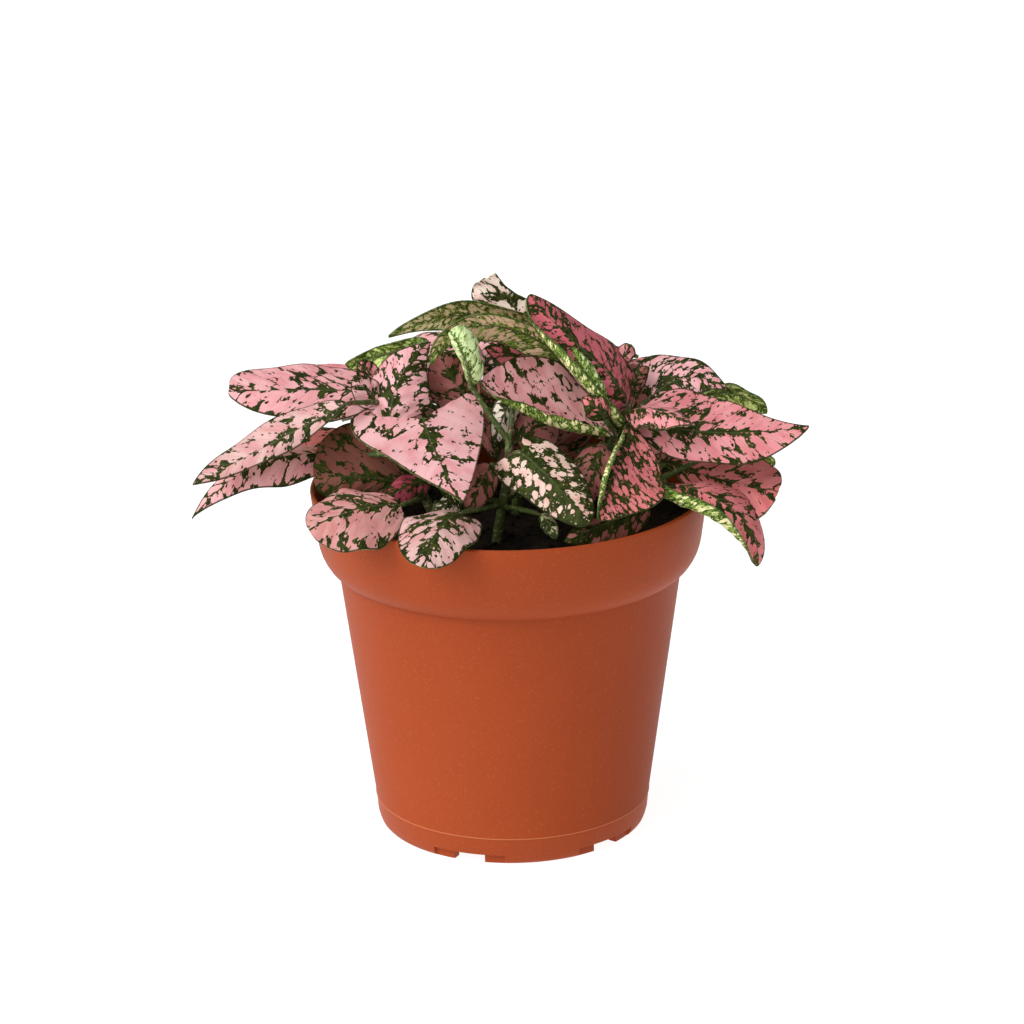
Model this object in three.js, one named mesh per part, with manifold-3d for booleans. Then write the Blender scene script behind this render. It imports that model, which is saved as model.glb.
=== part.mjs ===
// A polka dot plant in a round nursery pot: leafy stems standing in potting soil.
// Millimetres, +Z up. The pot is turned about the Z axis and stands on its foot ring.
// The plant is laid out around the pot's axis, with X to the right and Y to the back,
// and the whole is then centred on its own bounding box, at its bottom.
import * as THREE from 'three';
import { mergeVertices } from 'three/addons/utils/BufferGeometryUtils.js';
import Module from 'manifold-3d';

const wasm = await Module();
wasm.setup();

// The pot, a 105 mm moulded nursery pot
const RIM_RADIUS = 52.5;
const POT_HEIGHT = 93.7;
const WALL = 1.15;
const BAND_RADIUS = 51; // foot of the rim band
const BAND_FOOT = 82;
const CREASE_RADIUS = 45.5; // where the band curves in to meet the wall
const CREASE_HEIGHT = 72.7;
const SEAM_RADIUS = 36.74; // mould seam above the foot ring
const SEAM_HEIGHT = 7.72;
const FOOT_RADIUS = 34.6;
const FOOT_WALL = 2.6;
const FLOOR_UNDER = 4.2;
const FLOOR_TOP = 5.6;
const POT_SIDES = 48;

// Notches round the foot ring: a shallow recess with a slot through its middle
const NOTCH_AZIMUTHS = [-19.5, 45, 117, 189, 261]; // degrees, from the front towards +X
const RECESS_WIDTH = 32;
const RECESS_HEIGHT = 2.8;
const RECESS_DEPTH = 1.1;
const SLOT_WIDTH = 14;
const SLOT_HEIGHT = 2.3;
const DRAIN_RADIUS = 4;
const DRAIN_CIRCLE = 24;

// The soil, filling the pot to a little below the rim
const SOIL_TOP = 83;
const SOIL_GAP = 0.35;
const SOIL_BUMP = 0.7;
const SOIL_RINGS = [44, 29, 14];

// Stems, stalks and blades
const STEM_RADIUS = 1.6;
const STEM_SIDES = 6;
const STEM_STEPS = 5;
const STALK_RADIUS = 0.8;
const STALK_SIDES = 4;
const STALK_STEPS = 2;
const STALK_SINK = 1.4;
const HOLE_GAP = 0.35;
const BLADE_THICKNESS = 0.7;
const BLADE_ROWS = [0, 0.08, 0.3, 0.56, 0.82, 1];
const SMALL_BLADE_ROWS = [0, 0.12, 0.4, 0.75, 1];
const SMALL_BLADE_WIDTH = 18;
const SLIVER = 0.15; // facets narrower than this are merged
const ROLLED = 60; // degrees, past which half a blade gets more columns

const POT_COLOUR = 0xb04a2b;
const SOIL_COLOUR = 0x2e2119;
const LEAF_COLOUR = 0xd98088;

const rad = THREE.MathUtils.degToRad;

// What a blade has unless its own row says otherwise. fold is the slope of each half
// beside the midrib and curl how far it bends on towards its margin, in degrees, up
// when positive. roll gathers the bend near the margin, tipRoll bends the margin more
// towards the tip, reach stretches a half and heart draws its base back into a lobe.
// All but the wave may be given for the left or the right half alone.
const PLAIN_BLADE = {
  fold: -12, curl: -30, roll: 1, tipRoll: 0, reach: 1, wave: 0.8, waves: 2, heart: 0,
  baseShape: 0.5, tipShape: 0.8,
};

// A leaf that points straight out from the pot's axis
function leafAround(azimuth, base, tip, width, arch, lean) {
  const c = Math.cos(rad(azimuth));
  const s = Math.sin(rad(azimuth));
  const middle = [(base[0] + tip[0]) / 2, (base[1] + tip[1]) / 2 + arch];
  const rib = [base, middle, tip].map(([r, z]) => [c * r, s * r, z]);
  return { rib, face: [c * 0.3 - s * lean, s * 0.3 + c * lean, 1], width };
}

// Each leafy stem: its route up through the soil, then its leaves. A leaf has the points
// of its midrib from base to tip, the way its upper side faces, and its width.
const STEMS = [
  {
    name: 'leafy_stem_left',
    route: [[-14, 3, 64], [-15, 3, 86], [-24, 2, 104], [-31, 1, 116]],
    leaves: [
      { rib: [[-36, 2, 119], [-55, -2, 121], [-73, -3, 121]], face: [0, -0.3, 1], width: 26,
        reachLeft: 0.72, baseShapeLeft: 0.4, tipShapeLeft: 0.6, foldRight: 0, curlRight: -12,
        reachRight: 1.1, baseShapeRight: 0.12, wave: 0.4, tipShapeRight: 0.22 },
      { rib: [[-42, -17, 122], [-62, -17, 111], [-82, -19, 101]], face: [-0.2, -0.8, 0.7], width: 18,
        reachLeft: 0.42, baseShape: 0.8, tipShape: 0.9 },
      { rib: [[-31, -9, 115], [-28, -4, 125], [-20, 4, 132]], face: [-0.3, -1, 0.3], width: 20,
        tipShape: 1.2 },
      { rib: [[-21, 14, 129], [-32, 16, 125], [-43, 14, 123]], face: [0, 0.9, -0.2], width: 15,
        wave: 1.3, tipShape: 0.7, reachLeft: 0.42 },
      { rib: [[-33, -5, 118], [-37, -6, 122], [-40, -6, 126]], face: [0, -1, 0.5], width: 9 },
      { rib: [[-35, 2, 121], [-37, 2, 125], [-38, 2, 128]], face: [0, -1, 0.4], width: 7 },
    ],
  },
  {
    name: 'leafy_stem_front_left',
    route: [[-17, -15, 64], [-18, -16, 86], [-24, -14, 100], [-27, -11, 112]],
    leaves: [
      { rib: [[-46, -2, 103], [-62, -8, 104], [-83, -14, 90]], face: [0, -0.5, 1], width: 20,
        reachLeft: 0.78, tipShape: 1.2 },
      { rib: [[-28, -8, 97], [-40, -11, 100], [-51, -10, 99]], face: [-0.2, -1, 0.4], width: 22,
        reachLeft: 0.65, reachRight: 1.5, tipShapeRight: 0.4, tipShapeLeft: 0.3 },
      { rib: [[-22, -15, 117], [-18, -31, 111], [-12, -44, 104]], face: [0.05, -0.43, 0.91], width: 37,
        heartLeft: 13, heartRight: 4.5, baseShapeLeft: 0.14, tipShapeLeft: 0.85, curlLeft: -10,
        baseShapeRight: 0.12, tipShapeRight: 1.35, fold: -3, curlRight: 0, reachLeft: 0.92 },
      { rib: [[-28, -34, 100], [-39, -40, 101], [-51, -44, 97]], face: [-0.2, -0.6, 1], width: 24,
        baseShape: 0.45, tipShape: 0.45, fold: -5, curl: -25 },
      { rib: [[-21, -18, 102], [-26, -22, 101], [-32, -26, 99]], face: [0, -0.9, 0.6], width: 9 },
      leafAround(176, [26, 96], [46, 97], 14, 4, 0),
    ],
  },
  {
    name: 'leafy_stem_front',
    route: [[-3, -14, 64], [-3, -15, 86], [-1, -15, 98], [0, -13, 110]],
    leaves: [
      { rib: [[3, -22, 110], [12, -34, 105], [20, -42, 97]], face: [0, -0.9, 0.7], width: 25, heart: 6,
        baseShape: 0.3, baseShapeRight: 0.12, reachLeft: 0.8, tipShapeLeft: 0.6, tipShapeRight: 0.5,
        reachRight: 0.74 },
      { rib: [[1, -7, 119], [-2, -9, 113], [-4, -10, 106]], face: [0, -1, 0.2], width: 8,
        baseShape: 0.3, tipShape: 1.1 },
      { rib: [[-13, -38, 99], [-18, -52, 99], [-22, -61, 93]], face: [0, -0.5, 1], width: 22,
        tipShape: 0.45, fold: -5, curl: -25, heart: 4, heartRight: 7, baseShape: 0.35,
        baseShapeRight: 0.3, reachLeft: 0.83, reachRight: 1.1 },
      { rib: [[-15, -26, 100], [-16, -30, 99], [-19, -34, 98]], face: [0, -0.8, 0.8], width: 8 },
      { rib: [[-5, -20, 106], [-8, -24, 101], [-11, -28, 96]], face: [0, -1, 0.4], width: 10 },
      { rib: [[8, -28, 95], [10, -32, 94], [12, -36, 91]], face: [0, -1, 0.6], width: 5 },
      { rib: [[-9.5, -15, 126], [-10.5, -18, 133], [-12.5, -18, 138], [-14.5, -16, 141]],
        face: [0.4, 1, 0], width: 17, fold: 10, curl: 150, baseShape: 0.9, tipShape: 0.3 },
      leafAround(300, [8, 96], [28, 93], 12, 4, 0),
    ],
  },
  {
    name: 'leafy_stem_top',
    route: [[2, 5, 64], [2, 5, 88], [3, 5, 106], [5, 8, 124]],
    leaves: [
      { rib: [[12, 12, 127], [-9, 5, 139], [-31, -4, 136]], face: [0, 1, 0.5], width: 11, fold: 5,
        curl: -20 },
      { rib: [[14, 4, 124], [-3, -5, 139], [-15, -9, 138], [-20, -10, 130]], face: [0, 1, 0.5],
        width: 12, fold: 5, curl: -20, reachLeft: 0.75 },
      { rib: [[3, 12, 135], [0, 13, 142.5], [-3, 13.5, 147.5]], face: [-0.6, -0.8, 0.4], width: 15,
        reachLeft: 2.1, tipShapeLeft: 0.3, baseShapeRight: 0.1, tipShapeRight: 2.6, reachRight: 1.1 },
      { rib: [[13, 7, 119], [3, 3, 127], [-6, 1, 131]], face: [0, -1, 0.1], width: 10 },
      { rib: [[-9, 3, 115], [-14, 3, 121], [-18, 5, 129]], face: [0.2, -1, 0.2], width: 16 },
      { rib: [[2, -8, 108], [6, -8, 112], [11, -4, 118]], face: [-0.2, -1, 0.3], width: 17 },
      { rib: [[-3, -3, 101], [-1, -4, 108], [0, -2, 115]], face: [0, -1, 0.2], width: 14 },
      { rib: [[-1, 9, 103], [-2, 9, 113], [-4, 9, 122]], face: [0, -1, 0.3], width: 22 },
      { rib: [[10, 9, 101], [14, 9, 109], [17, 9, 117]], face: [0, -1, 0.3], width: 22 },
    ],
  },
  {
    name: 'leafy_stem_right',
    route: [[18, -3, 64], [19, -3, 84], [24, -3, 98], [28, -3, 109]],
    leaves: [
      { rib: [[27, -8, 110.5], [9, -12.5, 116.5], [-7, -13, 126.5]], face: [0.1, -0.9, 0.7], width: 26,
        foldLeft: 0, curlLeft: 190, reachLeft: 0.5, foldRight: -5, curlRight: -20, reachRight: 1.38,
        baseShapeRight: 0.7, tipShapeRight: 0.6 },
      { rib: [[30, -2, 114], [29, -10, 123], [19, -10, 134], [6, -4, 147]], face: [0.3, -0.9, 0.4],
        width: 23, foldRight: -35, curlRight: -25, reachRight: 1.35, baseShapeRight: 0.4, foldLeft: 0,
        curlLeft: 200, rollLeft: 3 },
      { rib: [[33, -9, 114], [54, -14, 112], [78, -12, 113]], face: [0, -0.5, 1], width: 29,
        foldLeft: 3, curlLeft: -10, reachLeft: 1.05, baseShapeLeft: 0.5, tipShapeLeft: 1.3,
        reachRight: 0.62, baseShapeRight: 0.7 },
      { rib: [[31, -10, 117], [38, -16, 119], [47, -22, 117]], face: [0, -0.4, 1], width: 12 },
      { rib: [[32, -14, 114], [29, -24, 110], [25.5, -35, 105], [24, -42, 98]], face: [0, -0.9, 0.6],
        width: 18, reachLeft: 1.6, baseShapeLeft: 0.95, tipShapeLeft: 0.75, curlLeft: 0,
        tipShapeRight: 0.4, reachRight: 0.5, curlRight: 180 },
      { rib: [[25, -18, 117], [22, -21, 122], [19, -20, 124]], face: [0, -1, 0.4], width: 8 },
      { rib: [[29, 6, 125], [31, 6, 128], [32, 6, 130]], face: [-0.3, -1, 0.3], width: 5.5,
        tipShape: 0.5 },
      { rib: [[33, 4, 117], [34, 5, 121], [37, 5, 124]], face: [0, -1, 0.4], width: 6 },
      { rib: [[37, 6, 115], [49, 5, 121], [59, 3, 117]], face: [0.3, -0.5, 1], width: 22, foldLeft: 2,
        curlLeft: -15, reachLeft: 1.05, reachRight: 0.8, baseShape: 0.3, tipShape: 1.3 },
      { rib: [[24, -10, 108], [22, -18, 103], [19, -24, 96]], face: [0, -1, 0.4], width: 14 },
      { rib: [[24, -15, 121], [22, -16, 127], [19, -16, 132], [17, -15, 136]], face: [0.3, 1, 0],
        width: 6, fold: 10, curl: 120 },
    ],
  },
  {
    name: 'leafy_stem_low_right',
    route: [[28, -13, 64], [29, -14, 82], [33, -14, 92], [36, -13, 97]],
    leaves: [
      { rib: [[41, -6, 101], [55, -10, 98], [70, -15, 96]], face: [0, -0.6, 1], width: 22, fold: 0,
        curl: -12, baseShapeLeft: 0.8, baseShapeRight: 1.2, tipShape: 0.4, reachRight: 1.1 },
      { rib: [[41, -16, 99], [51, -25, 99], [60, -28, 93], [64, -28, 80]], face: [0.5, -0.6, 0.7],
        width: 18, reachLeft: 1.6, reachRight: 1.3, baseShapeRight: 0.3, curlRight: 200, rollRight: 3 },
      { rib: [[36, -26, 96], [27, -33, 95], [14, -38, 91]], face: [0, -1, 0.6], width: 12 },
      { rib: [[63, 2, 104], [67, 1, 101], [70, 0, 98]], face: [0, 1, 0.6], width: 8 },
      { rib: [[31, -5, 92], [37, -6, 97], [42, -5, 104]], face: [0.2, -1, 0.3], width: 11 },
    ],
  },
  {
    name: 'leafy_stem_back_right',
    route: [[17, 16, 64], [18, 17, 86], [20, 18, 104], [16, 18, 118]],
    leaves: [
      leafAround(14, [32, 101], [71, 95], 21, 6, 0.2),
      leafAround(45, [31, 100], [64, 87], 23, 10, -0.1),
      leafAround(74, [30, 101], [70, 92], 22, 8, 0.15),
      leafAround(43, [26, 113], [65, 113], 20, 5, 0.2),
      leafAround(67, [24, 113], [57, 107], 19, 7, -0.2),
      leafAround(38, [19, 121], [44, 120], 18, 5, 0.2),
      leafAround(60, [22, 93], [43, 91], 14, 3, 0.2),
      { rib: [[27, 11, 100], [32, 11, 109], [35, 11, 116]], face: [0, -1, 0.3], width: 20 },
      { rib: [[48, 18, 110], [60, 20, 112], [69, 20, 106]], face: [0, 1, 0.6], width: 14 },
    ],
  },
  {
    name: 'leafy_stem_back_left',
    route: [[-15, 18, 64], [-16, 19, 86], [-18, 19, 104], [-14, 17, 118]],
    leaves: [
      leafAround(101, [28, 101], [62, 87], 20, 11, -0.2),
      leafAround(130, [31, 102], [71, 94], 23, 8, 0.1),
      leafAround(163, [33, 101], [74, 97], 21, 6, -0.1),
      leafAround(121, [25, 111], [58, 104], 20, 7, 0.2),
      leafAround(149, [28, 113], [67, 115], 20, 5, -0.1),
      leafAround(124, [17, 121], [48, 121], 21, 6, 0.1),
      leafAround(116, [22, 98], [44, 96], 16, 4, 0.1),
    ],
  },
  {
    name: 'leafy_stem_back',
    route: [[1, 21, 64], [1, 22, 86], [1, 22, 104], [1, 18, 118]],
    leaves: [
      leafAround(94, [22, 118], [63, 119], 22, 4, 0.1),
      leafAround(84, [15, 126], [43, 129], 21, 5, -0.1),
      leafAround(88, [22, 93], [43, 91], 14, 3, -0.2),
    ],
  },
];

// Solids from three.js geometry and back

function toSolid(geometry) {
  const bare = geometry.clone();
  bare.deleteAttribute('normal');
  bare.deleteAttribute('uv');
  const merged = mergeVertices(bare, 1e-4);
  const index = merged.index.array;
  const position = merged.attributes.position.array;
  const corner = (i) => new THREE.Vector3().fromArray(position, 3 * i);
  const triangles = [];
  let volume = 0;
  for (let i = 0; i < index.length; i += 3) {
    const [a, b, c] = [index[i], index[i + 1], index[i + 2]];
    if (a === b || b === c || c === a) continue;
    triangles.push(a, b, c);
    volume += corner(a).dot(corner(b).cross(corner(c)));
  }
  if (volume < 0) triangles.reverse();
  const vertProperties = new Float32Array(position);
  const triVerts = new Uint32Array(triangles);
  return new wasm.Manifold(new wasm.Mesh({ numProp: 3, vertProperties, triVerts }));
}

function toGeometry(solid) {
  const mesh = solid.getMesh();
  const geometry = new THREE.BufferGeometry();
  geometry.setAttribute('position', new THREE.BufferAttribute(new Float32Array(mesh.vertProperties), 3));
  geometry.setIndex(new THREE.BufferAttribute(new Uint32Array(mesh.triVerts), 1));
  geometry.computeVertexNormals();
  return geometry;
}

function namedMesh(name, geometry, color, roughness) {
  const mesh = new THREE.Mesh(geometry, new THREE.MeshStandardMaterial({ color, roughness, metalness: 0 }));
  mesh.name = name;
  return mesh;
}

// Closed profile of radius and height pairs, turned about the Z axis
function turned(profile, sides) {
  const lathe = new THREE.LatheGeometry(profile.map(([r, z]) => new THREE.Vector2(r, z)), sides);
  return lathe.rotateX(Math.PI / 2);
}

// A round-sectioned tube of few sides along a smooth curve through the points
function tube(points, radius, sides, steps) {
  const section = new THREE.Shape();
  for (let i = 0; i < sides; i++) {
    const turn = (2 * Math.PI * i) / sides;
    const place = [radius * Math.cos(turn), radius * Math.sin(turn)];
    if (i === 0) section.moveTo(...place);
    else section.lineTo(...place);
  }
  const extrudePath = new THREE.CatmullRomCurve3(points.map((p) => new THREE.Vector3(...p)));
  return new THREE.ExtrudeGeometry(section, { steps, extrudePath, bevelEnabled: false });
}

// The pot

const innerShoulder = [
  [RIM_RADIUS - WALL, POT_HEIGHT], [BAND_RADIUS - WALL, BAND_FOOT], [48.9, 77.8], [47.1, 75.4],
  [CREASE_RADIUS - WALL, CREASE_HEIGHT + 0.9],
];
const outerShoulder = [
  [CREASE_RADIUS, CREASE_HEIGHT], [47.3, 73.2], [49.3, 75.7], [50.5, 78.8], [BAND_RADIUS, BAND_FOOT],
];

function sector(inner, outer, azimuth, width, height, low) {
  // azimuth counts from the front, -Y, towards +X
  const middle = rad(azimuth - 90);
  const half = rad(width / 2);
  const shape = new THREE.Shape();
  shape.absarc(0, 0, outer, middle - half, middle + half, false);
  shape.absarc(0, 0, inner, middle + half, middle - half, true);
  const block = new THREE.ExtrudeGeometry(shape, { depth: height, bevelEnabled: false, curveSegments: 4 });
  return toSolid(block.translate(0, 0, low));
}

function potMesh() {
  const profile = [
    [0, FLOOR_UNDER],
    [FOOT_RADIUS - FOOT_WALL + 0.5, FLOOR_UNDER],
    [FOOT_RADIUS - FOOT_WALL, 0],
    [FOOT_RADIUS, 0],
    [FOOT_RADIUS + 0.9, 0.7],
    [FOOT_RADIUS + 1.6, 3],
    [SEAM_RADIUS, SEAM_HEIGHT],
    ...outerShoulder,
    [RIM_RADIUS, POT_HEIGHT - 0.5],
    [RIM_RADIUS - 0.4, POT_HEIGHT],
    ...innerShoulder,
    [FOOT_RADIUS + 0.9, FLOOR_TOP],
    [0, FLOOR_TOP],
  ];
  let pot = toSolid(turned(profile, POT_SIDES));
  const under = -1;
  const beyond = SEAM_RADIUS + 1;
  for (const azimuth of NOTCH_AZIMUTHS) {
    const face = FOOT_RADIUS + 1.2 - RECESS_DEPTH;
    pot = pot.subtract(sector(face, beyond, azimuth, RECESS_WIDTH, RECESS_HEIGHT - under, under));
    pot = pot.subtract(sector(FOOT_RADIUS - 6, beyond, azimuth, SLOT_WIDTH, SLOT_HEIGHT - under, under));
    const drain = new THREE.CylinderGeometry(DRAIN_RADIUS, DRAIN_RADIUS, FLOOR_TOP, 8).rotateX(Math.PI / 2);
    const turn = rad(azimuth - 90);
    drain.translate(DRAIN_CIRCLE * Math.cos(turn), DRAIN_CIRCLE * Math.sin(turn), FLOOR_TOP - 1);
    pot = pot.subtract(toSolid(drain));
  }
  return namedMesh('pot', toGeometry(pot), POT_COLOUR, 0.55);
}

// The soil: a filling with a lumpy top, and a plain hole for each stem

function soilMesh(stemTubes) {
  const insideWall = [...innerShoulder.slice(1), [FOOT_RADIUS + 0.9, FLOOR_TOP]].reverse();
  const side = insideWall.map(([r, z]) => [r - SOIL_GAP, z]);
  side[0][1] += SOIL_GAP;
  side.push([BAND_RADIUS - WALL - SOIL_GAP, SOIL_TOP]);
  const profile = [[0, side[0][1]], ...side, ...SOIL_RINGS.map((r) => [r, SOIL_TOP]), [0, SOIL_TOP]];
  const geometry = turned(profile, POT_SIDES / 2);
  const position = geometry.attributes.position;
  for (let i = 0; i < position.count; i++) {
    const [x, y, z] = [position.getX(i), position.getY(i), position.getZ(i)];
    const radius = Math.hypot(x, y);
    if (z < SOIL_TOP - 0.01 || radius > SOIL_RINGS[0] + 0.1) continue;
    const lump = Math.sin(0.31 * x + 1.3) * Math.cos(0.27 * y) + 0.6 * Math.sin(0.47 * y - 0.35 * x);
    position.setZ(i, z + SOIL_BUMP * lump);
  }
  let soil = toSolid(geometry);
  for (const stemTube of stemTubes) soil = soil.subtract(stemTube);
  return namedMesh('soil', toGeometry(soil), SOIL_COLOUR, 0.95);
}

// The leafy stems

// Point at share u along a smooth line through a midrib's points
function alongRib(rib, u) {
  const points = rib.map((p) => new THREE.Vector3(...p));
  const knots = [0];
  for (let i = 1; i < points.length; i++) knots.push(knots[i - 1] + points[i].distanceTo(points[i - 1]));
  const place = u * knots.at(-1);
  const result = new THREE.Vector3();
  points.forEach((point, i) => {
    let weight = 1;
    knots.forEach((knot, j) => {
      if (j !== i) weight *= (place - knot) / (knots[i] - knot);
    });
    result.addScaledVector(point, weight);
  });
  return result;
}

// Half width at share u along the blade, as a share of the widest
function outline(u, baseShape, tipShape) {
  const widest = baseShape / (baseShape + tipShape);
  const top = widest ** baseShape * (1 - widest) ** tipShape;
  return ((0.985 * u + 0.012) ** baseShape * (1.004 - u) ** tipShape) / top;
}

function bladePoint(leaf, u, v) {
  const tangent = alongRib(leaf.rib, u + 0.001).sub(alongRib(leaf.rib, u - 0.001)).normalize();
  const up = new THREE.Vector3(...leaf.face);
  up.addScaledVector(tangent, -up.dot(tangent)).normalize();
  const across = new THREE.Vector3().crossVectors(tangent, up);
  const hand = v < 0 ? 'Left' : 'Right';
  const own = (key) => leaf[key + hand] ?? leaf[key];
  const share = outline(u, own('baseShape'), own('tipShape'));
  const half = (leaf.width / 2) * share * own('reach');
  const bend = Math.min(1, 1.2 * share);
  const a = Math.abs(v);
  const tipRoll = own('tipRoll') * Math.max(0, 2 * u - 1) ** 0.7;
  const steps = 12;
  let out = 0;
  let rise = 0;
  for (let s = 0; s < steps; s++) {
    const q = ((s + 0.5) / steps) * a;
    const slope = rad(own('fold') + own('curl') * bend * q ** own('roll') + tipRoll * q ** 2);
    out += (Math.cos(slope) * a * half) / steps;
    rise += (Math.sin(slope) * a * half) / steps;
  }
  const phase = v < 0 ? 0 : 0.37;
  rise += leaf.wave * Math.sin(2 * Math.PI * (leaf.waves * u + phase)) * a * a * share;
  return alongRib(leaf.rib, u)
    .addScaledVector(across, Math.sign(v) * out)
    .addScaledVector(up, rise)
    .addScaledVector(tangent, -own('heart') * a * (1 - u) ** 2);
}

// Where the columns of half a blade stand between the midrib and the margin
function halfShares(leaf, hand) {
  const bends = ['curl', 'tipRoll'].map((key) => leaf[key + hand] ?? leaf[key]);
  return Math.max(...bends) > ROLLED ? [0.25, 0.5, 0.75, 1] : [0.5, 1];
}

// A thin closed blade, split into triangles alike on both faces
function bladeSolid(row) {
  const leaf = { ...PLAIN_BLADE, ...row };
  const rows = leaf.width < SMALL_BLADE_WIDTH ? SMALL_BLADE_ROWS : BLADE_ROWS;
  const shares = [...halfShares(leaf, 'Left').map((v) => -v).reverse(), 0, ...halfShares(leaf, 'Right')];
  const columns = shares.length;
  const grid = rows.map((u) => shares.map((v) => bladePoint(leaf, u, v)));
  const held = (n, count) => THREE.MathUtils.clamp(n, 0, count - 1);
  const at = (i, j) => grid[held(i, rows.length)][held(j, columns)];
  const upper = [];
  const lower = [];
  for (let i = 0; i < rows.length; i++) {
    for (let j = 0; j < columns; j++) {
      const along = at(i + 1, j).clone().sub(at(i - 1, j));
      const over = at(i, j + 1).clone().sub(at(i, j - 1));
      const normal = along.cross(over).normalize().multiplyScalar(BLADE_THICKNESS / 2);
      upper.push(...at(i, j).clone().add(normal).toArray());
      lower.push(...at(i, j).clone().sub(normal).toArray());
    }
  }
  const below = rows.length * columns;
  const index = [];
  for (let i = 0; i + 1 < rows.length; i++) {
    for (let j = 0; j + 1 < columns; j++) {
      const [a, b] = [i * columns + j, (i + 1) * columns + j];
      index.push(a, b, b + 1, a, b + 1, a + 1);
      index.push(below + a, below + b + 1, below + b, below + a, below + a + 1, below + b + 1);
    }
  }
  const rim = [];
  for (let i = 0; i < rows.length; i++) rim.push(i * columns);
  for (let j = 1; j < columns; j++) rim.push((rows.length - 1) * columns + j);
  for (let i = rows.length - 2; i >= 0; i--) rim.push(i * columns + columns - 1);
  for (let j = columns - 2; j > 0; j--) rim.push(j);
  rim.forEach((a, k) => {
    const b = rim[(k + 1) % rim.length];
    index.push(a, below + a, below + b, a, below + b, b);
  });
  const geometry = new THREE.BufferGeometry();
  geometry.setAttribute('position', new THREE.Float32BufferAttribute([...upper, ...lower], 3));
  geometry.setIndex(index);
  return toSolid(geometry);
}

// The stalk leaves the stem a little below its blade and runs on into the blade's midrib
function stalkSolid(stem, leaf) {
  const base = new THREE.Vector3(...leaf.rib[0]);
  const onward = alongRib(leaf.rib, 0.04).sub(base).normalize();
  const lower = base.clone().setZ(base.z - 4);
  let foot = null;
  for (let t = 0.35; t <= 1; t += 0.01) {
    const place = alongRib(stem.route, t);
    if (!foot || place.distanceTo(lower) < foot.distanceTo(lower)) foot = place;
  }
  const middle = foot.clone().lerp(base, 0.5);
  middle.lerp(base.clone().addScaledVector(onward, -2), 0.35);
  const end = base.clone().addScaledVector(onward, STALK_SINK);
  return toSolid(tube([foot, middle, end].map((p) => p.toArray()), STALK_RADIUS, STALK_SIDES, STALK_STEPS));
}

function stemSolid(stem, radius) {
  return toSolid(tube(stem.route, radius, STEM_SIDES, STEM_STEPS));
}

function leafyStemMesh(stem) {
  let solid = stemSolid(stem, STEM_RADIUS);
  for (const leaf of stem.leaves) solid = solid.add(stalkSolid(stem, leaf)).add(bladeSolid(leaf));
  return namedMesh(stem.name, toGeometry(solid.simplify(SLIVER)), LEAF_COLOUR, 0.5);
}

// The hole follows its stem, and starts a little below it
function stemHole(stem) {
  const [x, y, z] = stem.route[0];
  const route = [[x, y, z - HOLE_GAP], ...stem.route.slice(1)];
  return stemSolid({ route }, STEM_RADIUS + HOLE_GAP);
}

const plant = new THREE.Group();
plant.add(potMesh());
plant.add(soilMesh(STEMS.map(stemHole)));
for (const stem of STEMS) plant.add(leafyStemMesh(stem));

const box = new THREE.Box3().setFromObject(plant, true);
const centre = box.getCenter(new THREE.Vector3());
plant.position.set(-centre.x, -centre.y, -box.min.z);

const object = new THREE.Group();
object.add(plant);

export default object;
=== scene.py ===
"""A potted polka dot plant: pink leaves speckled with dark green, on nine leafy stems in a nursery pot.

Sizes are in millimetres where they are written down, and in metres once they are in a mesh. Only the
camera's distance and the floor's reach are written in metres.
The plant is laid out round the pot's axis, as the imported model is.
"""

import math
import random

import bmesh
import bpy
from mathutils import Matrix, Vector, noise


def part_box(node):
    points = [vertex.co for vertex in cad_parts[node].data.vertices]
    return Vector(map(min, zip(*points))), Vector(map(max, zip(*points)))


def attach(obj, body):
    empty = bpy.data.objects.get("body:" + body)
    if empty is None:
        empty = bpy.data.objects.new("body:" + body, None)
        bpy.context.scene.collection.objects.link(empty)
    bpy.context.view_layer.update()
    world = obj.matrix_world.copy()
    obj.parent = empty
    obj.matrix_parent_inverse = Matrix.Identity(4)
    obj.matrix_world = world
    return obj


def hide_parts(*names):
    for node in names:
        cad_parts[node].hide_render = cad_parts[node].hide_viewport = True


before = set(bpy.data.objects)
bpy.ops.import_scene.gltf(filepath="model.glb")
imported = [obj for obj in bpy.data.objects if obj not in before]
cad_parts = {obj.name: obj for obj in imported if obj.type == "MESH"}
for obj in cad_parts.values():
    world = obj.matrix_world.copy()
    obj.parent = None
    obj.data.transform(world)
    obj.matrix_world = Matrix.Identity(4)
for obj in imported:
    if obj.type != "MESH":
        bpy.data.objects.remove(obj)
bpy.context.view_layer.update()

MM = 0.001
POT_LOW, POT_HIGH = (Vector(corner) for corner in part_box("pot"))
AXIS = Vector(((POT_LOW.x + POT_HIGH.x) / 2, (POT_LOW.y + POT_HIGH.y) / 2, 0))
UP = Vector((0, 0, 1))
FULL_TURN = 2 * math.pi
SAME_PLACE = 1e-6
SHARP_ANGLE = math.radians(40)

# The pot, a 105 mm moulded nursery pot
RIM_RADIUS = 52.5
POT_HEIGHT = 93.7
WALL = 1.15
BAND_RADIUS = 51
BAND_FOOT = 82
CREASE_RADIUS = 45.5
CREASE_HEIGHT = 72.7
SEAM_RADIUS = 36.74
SEAM_HEIGHT = 7.72
FOOT_RADIUS = 34.6
FOOT_WALL = 2.6
FLOOR_RADIUS = FOOT_RADIUS + 0.7
FLOOR_UNDER = 4.2
FLOOR_TOP = 5.6
POT_STEPS = 192

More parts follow.
